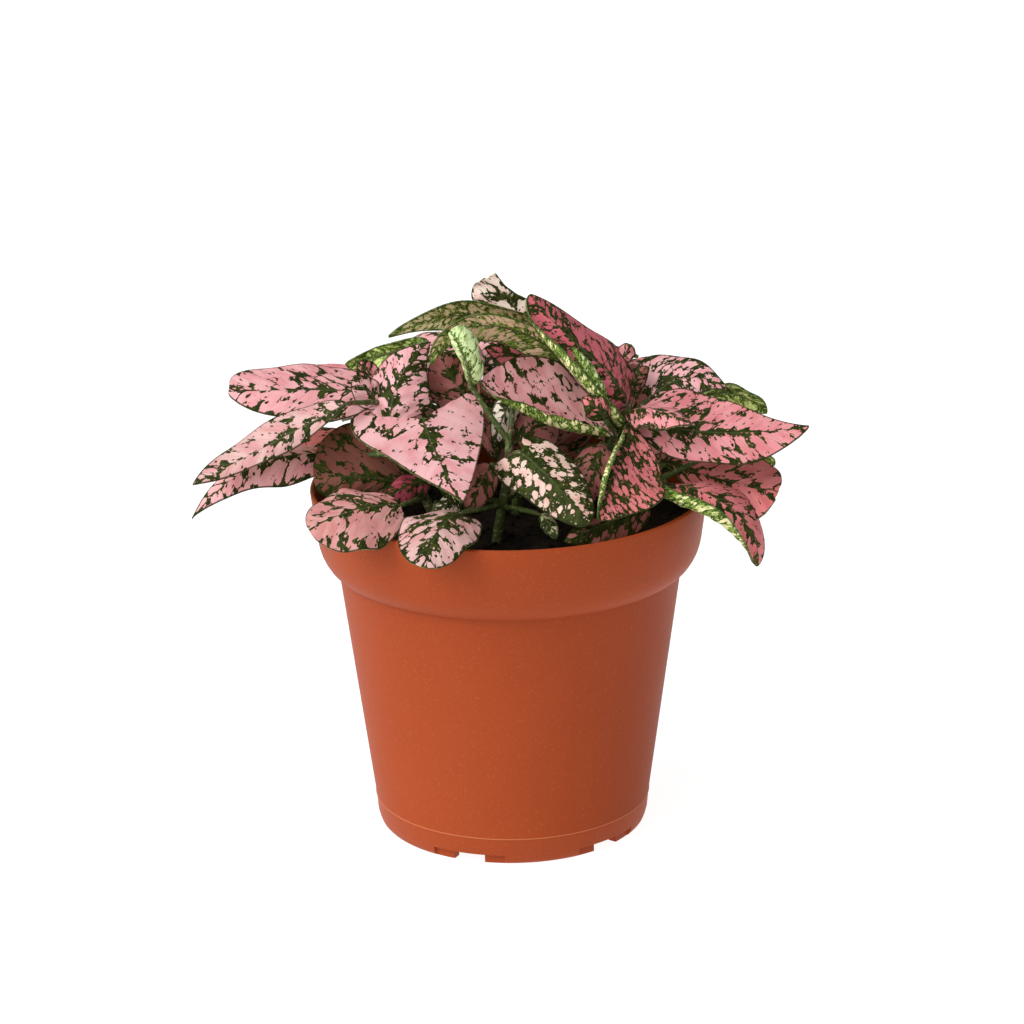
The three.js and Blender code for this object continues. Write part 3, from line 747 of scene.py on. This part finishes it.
class LeafyStem:
    """One stem's mesh while it grows: stem, stalks and blades."""

    def __init__(self, rng):
        self.bm = bmesh.new()
        self.rng = rng
        self.blade_map = self.bm.loops.layers.uv.new("blade")
        self.share_map = self.bm.loops.layers.uv.new("share")
        layers = self.bm.verts.layers
        self.tone = layers.float_color.new("tone")
        self.back_tone = layers.float_color.new("back_tone")
        keys = ("grain", "stretch", "seed", "ribbing", "reach")
        self.number_layers = {key: layers.float.new(key) for key in keys}

    def add_tube(self, points, radii):
        curve = bpy.data.curves.new("tube", "CURVE")
        curve.dimensions = "3D"
        curve.bevel_depth = 1
        curve.bevel_resolution = 3
        curve.use_fill_caps = True
        spline = curve.splines.new("POLY")
        spline.points.add(len(points) - 1)
        for target, point, radius in zip(spline.points, points, radii):
            target.co = (*(AXIS + point * MM), 1)
            target.radius = radius * MM
        holder = bpy.data.objects.new("tube", curve)
        mesh = bpy.data.meshes.new_from_object(holder)
        faces = len(self.bm.faces)
        self.bm.from_mesh(mesh)
        self.bm.faces.ensure_lookup_table()
        for face in self.bm.faces[faces:]:
            face.material_index = STALK
        bpy.data.objects.remove(holder)
        bpy.data.curves.remove(curve)
        bpy.data.meshes.remove(mesh)

    def add_stem(self, route):
        shares = [i / STEM_STEPS for i in range(STEM_STEPS + 1)]
        radii = [STEM_RADIUS * (1 - STEM_TAPER * i / STEM_STEPS) for i in range(STEM_STEPS + 1)]
        self.add_tube([along_rib(route, share) for share in shares], radii)

    def add_stalk(self, route, row):
        """A stalk from the stem to the blade, where it runs on underneath as the midrib."""
        base = Vector(row["rib"][0])
        onward = (along_rib(row["rib"], RIB_START) - base).normalized()
        lower = base - Vector((0, 0, STALK_DROP))
        upper_route = (along_rib(route, percent / 100) for percent in range(LOWEST_STALK, 101))
        foot = min(upper_route, key=lambda place: (place - lower).length)
        middle = (foot.lerp(base, 0.5)).lerp(base - onward * STALK_LEAD, STALK_BEND)
        points, radii = [], []
        for i in range(STALK_STEPS):
            points.append(along_rib([foot, middle, base], i / STALK_STEPS))
            radii.append(STALK_RADIUS * (1 + STALK_FLARE - STALK_FLARE * i / STALK_STEPS))
        thin = min(1, row["width"] / RIB_FULL_WIDTH)
        for i in range(RIB_STEPS):
            share = i / RIB_STEPS * RIB_END
            _, up, _ = rib_frame(row, share)
            radius = STALK_RADIUS * thin * (RIB_GIRTH * (1 - share) ** 0.7 + RIB_TIP_GIRTH)
            points.append(along_rib(row["rib"], share) - up * (radius + RIB_CLEARANCE))
            radii.append(radius)
        self.add_tube(points, radii)

    def bend_grid(self, row):
        """A blade's upper side, bent from a flat grid: its corners and its faces, with both maps."""
        made = bmesh.ops.create_grid(self.bm, x_segments=BLADE_ROWS, y_segments=BLADE_COLUMNS, size=1)
        grid = made["verts"]
        faces = list({face for vert in grid for face in vert.link_faces})
        places = {}
        for vert in grid:
            even = (vert.co.x + 1) / 2
            closer_at_ends = 0.5 + 0.5 * math.sin(math.pi / 2 * vert.co.x)
            share = ROW_CROWDING * closer_at_ends + (1 - ROW_CROWDING) * even
            side = vert.co.y
            point, over = blade_point(row, share, side)
            places[vert] = (share, side), (row["length"] * share, over)
            vert.co = AXIS + point * MM
        for face in faces:
            for loop in face.loops:
                loop[self.share_map].uv, loop[self.blade_map].uv = places[loop.vert]
        return grid, faces

    def add_blade(self, row):
        bm = self.bm
        before = len(bm.verts)
        grid, faces = self.bend_grid(row)
        bm.normal_update()
        away = rib_frame(row, 0.5)[1]
        if sum(face.normal.dot(away) for face in faces) < 0:
            bmesh.ops.reverse_faces(bm, faces=faces)
            bm.normal_update()
        lower = bmesh.ops.extrude_face_region(bm, geom=faces, use_keep_orig=True)["geom"]
        for vert in (part for part in lower if isinstance(part, bmesh.types.BMVert)):
            vert.co -= vert.normal * BLADE_THICKNESS * MM
        bm.verts.ensure_lookup_table()
        bm.verts.index_update()
        upper_end = before + len(grid)
        numbers = {key: row[key] for key in ("grain", "stretch", "ribbing")}
        numbers["seed"] = self.rng.uniform(0, PATTERN_SEEDS)
        for vert in bm.verts[before:]:
            vert[self.tone] = (*PINKS[row["look"]], 1)
            vert[self.back_tone] = (*BACKS[row["back"]], 1)
            numbers["reach"] = spot_reach(row["cover" if vert.index < upper_end else "back_cover"])
            for key, layer in self.number_layers.items():
                vert[layer] = numbers[key]
        blade = list({face for vert in bm.verts[before:] for face in vert.link_faces})
        for face in blade:
            is_upper = all(vert.index < upper_end for vert in face.verts)
            face.material_index = UPPER_SIDE if is_upper else UNDERSIDE
        bmesh.ops.recalc_face_normals(bm, faces=blade)


# Each leafy stem: its CAD node, its route up through the soil, then its leaves

# Leaves inside the plant have a dark tone, which is painted shade that fills the plant's inside.
STEMS = {
    "leafy_stem_left": (
        [(-14, 3, 64), (-15, 3, 86), (-24, 2, 104), (-31, 1, 116)],
        [
            leaf([(-36, 2, 119), (-55, -2, 121), (-73, -3, 121)], (0, -0.3, 1), 26, reach_left=0.72,
                 base_shape_left=0.4, tip_shape_left=0.6, fold_right=0, curl_right=-12, reach_right=1.1,
                 base_shape_right=0.12, wave=0.4, tip_shape_right=0.22, cover=0.25, grain=0.85,
                 stretch=2.2, look="soft"),
            leaf([(-42, -17, 122), (-62, -17, 111), (-82, -19, 101)], (-0.2, -0.8, 0.7), 18,
                 reach_left=0.42, base_shape=0.8, tip_shape=0.9, look="faint", cover=0.24, grain=0.75,
                 stretch=2.2),
            leaf([(-31, -9, 115), (-28, -4, 125), (-20, 4, 132)], (-0.3, -1, 0.3), 20, cover=0.4,
                 look="pale", grain=0.65, tip_shape=1.2),
            leaf([(-21, 14, 129), (-32, 16, 125), (-43, 14, 123)], (0, 0.9, -0.2), 15, wave=1.3,
                 tip_shape=0.7, back="lime", grain=0.7, back_cover=0.35, reach_left=0.42),
            leaf([(-33, -5, 118), (-37, -6, 122), (-40, -6, 126)], (0, -1, 0.5), 9, look="pale",
                 cover=0.35, grain=0.45),
            leaf([(-35, 2, 121), (-37, 2, 125), (-38, 2, 128)], (0, -1, 0.4), 7, look="rose", grain=0.5),
        ],
    ),
    "leafy_stem_front_left": (
        [(-17, -15, 64), (-18, -16, 86), (-24, -14, 100), (-27, -11, 112)],
        [
            leaf([(-46, -2, 103), (-62, -8, 104), (-83, -14, 90)], (0, -0.5, 1), 20, reach_left=0.78,
                 tip_shape=1.2, look="soft", cover=0.26, stretch=2.2),
            # painted shade: this pink leaf lies in shadow, so its colour is painted dark brown
            leaf([(-28, -8, 97), (-40, -11, 100), (-51, -10, 99)], (-0.2, -1, 0.4), 22, look="brown",
                 cover=0.36, reach_left=0.65, reach_right=1.5, tip_shape_right=0.4, tip_shape_left=0.3),
            leaf([(-22, -15, 117), (-18, -31, 111), (-12, -44, 104)], (0.05, -0.43, 0.91), 37,
                 heart_left=13, heart_right=4.5, base_shape_left=0.14, tip_shape_left=0.85, curl_left=-10,
                 base_shape_right=0.12, tip_shape_right=1.35, fold=-3, curl_right=0, look="pale",
                 cover=0.19, grain=0.9, ribbing=1.7, stretch=1.8, reach_left=0.92),
            leaf([(-28, -34, 100), (-39, -40, 101), (-51, -44, 97)], (-0.2, -0.6, 1), 24, base_shape=0.45,
                 tip_shape=0.45, fold=-5, curl=-25, cover=0.26, ribbing=1.6, look="muted"),
            leaf([(-21, -18, 102), (-26, -22, 101), (-32, -26, 99)], (0, -0.9, 0.6), 9, look="magenta",
                 cover=0.35, grain=0.5),
            leaf_around(176, (26, 96), (46, 97), 14, 4, 0, look="dusk"),
        ],
    ),
    "leafy_stem_front": (
        [(-3, -14, 64), (-3, -15, 86), (-1, -15, 98), (0, -13, 110)],
        [
            leaf([(3, -22, 110), (12, -34, 105), (20, -42, 97)], (0, -0.9, 0.7), 25, heart=6,
                 base_shape=0.3, look="ivory", cover=0.62, grain=0.7, stretch=1.5, ribbing=1.3,
                 base_shape_right=0.12, reach_left=0.8, tip_shape_left=0.6, tip_shape_right=0.5,
                 reach_right=0.74),
            leaf([(1, -7, 119), (-2, -9, 113), (-4, -10, 106)], (0, -1, 0.2), 8, base_shape=0.3,
                 tip_shape=1.1, look="white", grain=0.6),
            leaf([(-13, -38, 99), (-18, -52, 99), (-22, -61, 93)], (0, -0.5, 1), 22, tip_shape=0.45,
                 fold=-5, curl=-25, look="faint", cover=0.46, ribbing=1.5, heart=4, heart_right=7,
                 base_shape=0.35, base_shape_right=0.3, grain=0.8, reach_left=0.83, reach_right=1.1),
            leaf([(-15, -26, 100), (-16, -30, 99), (-19, -34, 98)], (0, -0.8, 0.8), 8, look="white",
                 cover=0.6, grain=0.4),
            leaf([(-5, -20, 106), (-8, -24, 101), (-11, -28, 96)], (0, -1, 0.4), 10, look="dusk",
                 grain=0.7),
            leaf([(8, -28, 95), (10, -32, 94), (12, -36, 91)], (0, -1, 0.6), 5, look="leafy", grain=0.5),
            leaf([(-9.5, -15, 126), (-10.5, -18, 133), (-12.5, -18, 138), (-14.5, -16, 141)], (0.4, 1, 0),
                 17, fold=10, curl=150, base_shape=0.9, tip_shape=0.3, back="pale_green", cover=0.2,
                 grain=0.6, back_cover=0.24),
            leaf_around(300, (8, 96), (28, 93), 12, 4, 0, look="dusk"),
        ],
    ),
    "leafy_stem_top": (
        [(2, 5, 64), (2, 5, 88), (3, 5, 106), (5, 8, 124)],
        [
            leaf([(12, 12, 127), (-9, 5, 139), (-31, -4, 136)], (0, 1, 0.5), 11, fold=5, curl=-20,
                 back_cover=0.4, stretch=2),
            leaf([(14, 4, 124), (-3, -5, 139), (-15, -9, 138), (-20, -10, 130)], (0, 1, 0.5), 12, fold=5,
                 curl=-20, reach_left=0.75, back="blush", back_cover=0.4, stretch=2),
            leaf([(3, 12, 135), (0, 13, 142.5), (-3, 13.5, 147.5)], (-0.6, -0.8, 0.4), 15, look="white",
                 cover=0.35, reach_left=2.1, tip_shape_left=0.3, base_shape_right=0.1,
                 tip_shape_right=2.6, reach_right=1.1, grain=0.8),
            leaf([(13, 7, 119), (3, 3, 127), (-6, 1, 131)], (0, -1, 0.1), 10, look="deep"),
            leaf([(-9, 3, 115), (-14, 3, 121), (-18, 5, 129)], (0.2, -1, 0.2), 16, look="dusk"),
            leaf([(2, -8, 108), (6, -8, 112), (11, -4, 118)], (-0.2, -1, 0.3), 17, look="dusk"),
            leaf([(-3, -3, 101), (-1, -4, 108), (0, -2, 115)], (0, -1, 0.2), 14, look="dusk"),
            leaf([(-1, 9, 103), (-2, 9, 113), (-4, 9, 122)], (0, -1, 0.3), 22, look="dusk"),
            leaf([(10, 9, 101), (14, 9, 109), (17, 9, 117)], (0, -1, 0.3), 22, look="dusk"),
        ],
    ),
    "leafy_stem_right": (
        [(18, -3, 64), (19, -3, 84), (24, -3, 98), (28, -3, 109)],
        [
            leaf([(27, -8, 110.5), (9, -12.5, 116.5), (-7, -13, 126.5)], (0.1, -0.9, 0.7), 26,
                 fold_left=0, curl_left=190, reach_left=0.5, fold_right=-5, curl_right=-20,
                 reach_right=1.38, base_shape_right=0.7, look="soft", cover=0.26, grain=0.85,
                 back_cover=0.75, stretch=1.6, tip_shape_right=0.6),
            leaf([(30, -2, 114), (29, -10, 123), (19, -10, 134), (6, -4, 147)], (0.3, -0.9, 0.4), 23,
                 fold_right=-35, curl_right=-25, reach_right=1.35, base_shape_right=0.4, fold_left=0,
                 curl_left=200, roll_left=3, look="deep", cover=0.42, grain=0.55, back_cover=0.65),
            leaf([(33, -9, 114), (54, -14, 112), (78, -12, 113)], (0, -0.5, 1), 29, fold_left=3,
                 curl_left=-10, reach_left=1.05, base_shape_left=0.5, tip_shape_left=1.3,
                 reach_right=0.62, base_shape_right=0.7, cover=0.38, look="rose", ribbing=1.4),
            leaf([(31, -10, 117), (38, -16, 119), (47, -22, 117)], (0, -0.4, 1), 12, look="rose",
                 cover=0.36, grain=0.45),
            leaf([(32, -14, 114), (29, -24, 110), (25.5, -35, 105), (24, -42, 98)], (0, -0.9, 0.6), 18,
                 reach_left=1.6, base_shape_left=0.95, tip_shape_left=0.75, curl_left=0,
                 tip_shape_right=0.4, reach_right=0.5, curl_right=180, look="coral", cover=0.5, grain=0.5,
                 back_cover=0.6),
            leaf([(25, -18, 117), (22, -21, 122), (19, -20, 124)], (0, -1, 0.4), 8, look="coral",
                 cover=0.5, grain=0.5),
            leaf([(29, 6, 125), (31, 6, 128), (32, 6, 130)], (-0.3, -1, 0.3), 5.5, look="rose", grain=0.5,
                 cover=0.15, tip_shape=0.5),
            leaf([(33, 4, 117), (34, 5, 121), (37, 5, 124)], (0, -1, 0.4), 6, look="dusk", grain=0.5),
            leaf([(37, 6, 115), (49, 5, 121), (59, 3, 117)], (0.3, -0.5, 1), 22, fold_left=2,
                 curl_left=-15, reach_left=1.05, reach_right=0.8, base_shape=0.3, tip_shape=1.3,
                 cover=0.45, grain=0.6, look="pale"),
            leaf([(24, -10, 108), (22, -18, 103), (19, -24, 96)], (0, -1, 0.4), 14, look="dusk"),
            leaf([(24, -15, 121), (22, -16, 127), (19, -16, 132), (17, -15, 136)], (0.3, 1, 0), 6,
                 fold=10, curl=120, back="pale_green", grain=0.6),
        ],
    ),
    "leafy_stem_low_right": (
        [(28, -13, 64), (29, -14, 82), (33, -14, 92), (36, -13, 97)],
        [
            leaf([(41, -6, 101), (55, -10, 98), (70, -15, 96)], (0, -0.6, 1), 22, fold=0, curl=-12,
                 base_shape_left=0.8, base_shape_right=1.2, tip_shape=0.4, reach_right=1.1, look="coral",
                 cover=0.26),
            leaf([(41, -16, 99), (51, -25, 99), (60, -28, 93), (64, -28, 80)], (0.5, -0.6, 0.7), 18,
                 reach_left=1.6, reach_right=1.3, base_shape_right=0.3, curl_right=200, roll_right=3,
                 look="coral", back_cover=0.62, cover=0.36),
            leaf([(36, -26, 96), (27, -33, 95), (14, -38, 91)], (0, -1, 0.6), 12, look="dusk", cover=0.5),
            leaf([(63, 2, 104), (67, 1, 101), (70, 0, 98)], (0, 1, 0.6), 8, back="lime", grain=0.6),
            leaf([(31, -5, 92), (37, -6, 97), (42, -5, 104)], (0.2, -1, 0.3), 11, look="dusk"),
        ],
    ),
    "leafy_stem_back_right": (
        [(17, 16, 64), (18, 17, 86), (20, 18, 104), (16, 18, 118)],
        [
            leaf_around(14, (32, 101), (71, 95), 21, 6, 0.2),
            leaf_around(45, (31, 100), (64, 87), 23, 10, -0.1, look="pale"),
            leaf_around(74, (30, 101), (70, 92), 22, 8, 0.15, look="coral"),
            leaf_around(43, (26, 113), (65, 113), 20, 5, 0.2, cover=0.4),
            leaf_around(67, (24, 113), (57, 107), 19, 7, -0.2, look="pale", cover=0.2),
            leaf_around(38, (19, 121), (44, 120), 18, 5, 0.2, look="deep"),
            leaf_around(60, (22, 93), (43, 91), 14, 3, 0.2, look="dusk"),
            leaf([(27, 11, 100), (32, 11, 109), (35, 11, 116)], (0, -1, 0.3), 20, look="dusk"),
            leaf([(48, 18, 110), (60, 20, 112), (69, 20, 106)], (0, 1, 0.6), 14, back="lime"),
        ],
    ),
    "leafy_stem_back_left": (
        [(-15, 18, 64), (-16, 19, 86), (-18, 19, 104), (-14, 17, 118)],
        [
            leaf_around(101, (28, 101), (62, 87), 20, 11, -0.2, look="pale"),
            leaf_around(130, (31, 102), (71, 94), 23, 8, 0.1),
            leaf_around(163, (33, 101), (74, 97), 21, 6, -0.1, look="coral", cover=0.4),
            leaf_around(121, (25, 111), (58, 104), 20, 7, 0.2, look="coral"),
            leaf_around(149, (28, 113), (67, 115), 20, 5, -0.1, cover=0.2),
            leaf_around(124, (17, 121), (48, 121), 21, 6, 0.1, look="pale"),
            leaf_around(116, (22, 98), (44, 96), 16, 4, 0.1, look="dusk"),
        ],
    ),
    "leafy_stem_back": (
        [(1, 21, 64), (1, 22, 86), (1, 22, 104), (1, 18, 118)],
        [
            leaf_around(94, (22, 118), (63, 119), 22, 4, 0.1, look="pale", cover=0.6, grain=0.8,
                        stretch=1.15),
            leaf_around(84, (15, 126), (43, 129), 21, 5, -0.1),
            leaf_around(88, (22, 93), (43, 91), 14, 3, -0.2, look="dusk"),
        ],
    ),
}


def build_foliage():
    skins = [leaf_upper(), leaf_under(), stem_skin()]
    rng = random.Random(FOLIAGE_SEED)
    for node, (route, leaves) in STEMS.items():
        stem = LeafyStem(rng)
        stem.add_stem(route)
        for row in leaves:
            stem.add_blade(row)
            stem.add_stalk(route, row)
        name = node.replace("leafy_stem", "foliage")
        piece_of(mesh_from(stem.bm, name), name, skins, "foliage", node)


# Surroundings

def build_floor():
    bm = bmesh.new()
    bmesh.ops.create_grid(bm, x_segments=1, y_segments=1, size=FLOOR_REACH)
    mesh = mesh_from(bm, "studio_floor")
    mesh.materials.append(floor_paint())
    floor = placed("studio_floor", mesh)


def add_camera():
    camera = bpy.data.cameras.new("camera")
    camera.sensor_width = SENSOR
    camera.lens = FOCAL_PIXELS / IMAGE_WIDTH * SENSOR
    holder = placed("camera", camera)
    forward = Vector((0, math.cos(CAMERA_ELEVATION), -math.sin(CAMERA_ELEVATION)))
    over = Vector((0, math.sin(CAMERA_ELEVATION), math.cos(CAMERA_ELEVATION)))
    level = Vector((1, 0, 0))
    right = math.cos(CAMERA_ROLL) * level + math.sin(CAMERA_ROLL) * over
    upward = math.cos(CAMERA_ROLL) * over - math.sin(CAMERA_ROLL) * level
    turn = Matrix((right, upward, -forward)).transposed().to_4x4()
    place = AXIS + CAMERA_AIM * MM - forward * CAMERA_DISTANCE
    holder.matrix_world = Matrix.Translation(place) @ turn
    bpy.context.scene.camera = holder


def add_sun(name, came_from, spread, strength):
    """Soft light from one side, as even as daylight from a wide window."""
    light = bpy.data.lights.new(name, "SUN")
    light.angle = math.radians(spread)
    light.energy = strength
    placed(name, light).rotation_euler = (-Vector(came_from)).to_track_quat("-Z", "Y").to_euler()


def light_studio():
    world = bpy.data.worlds.new("studio")
    world.use_nodes = True
    sky = world.node_tree.nodes["Background"].inputs
    sky["Color"].default_value = (*WHITE, 1)
    sky["Strength"].default_value = SKY_STRENGTH
    bpy.context.scene.world = world
    bpy.context.scene.view_settings.view_transform = "Standard"
    add_sun("window", came_from=(-1.0, -0.35, 1.1), spread=50, strength=1.7)
    add_sun("fill", came_from=(-0.8, -0.9, 0.7), spread=60, strength=1.3)


build_floor()
add_camera()
light_studio()
build_pot()
build_soil()
build_foliage()
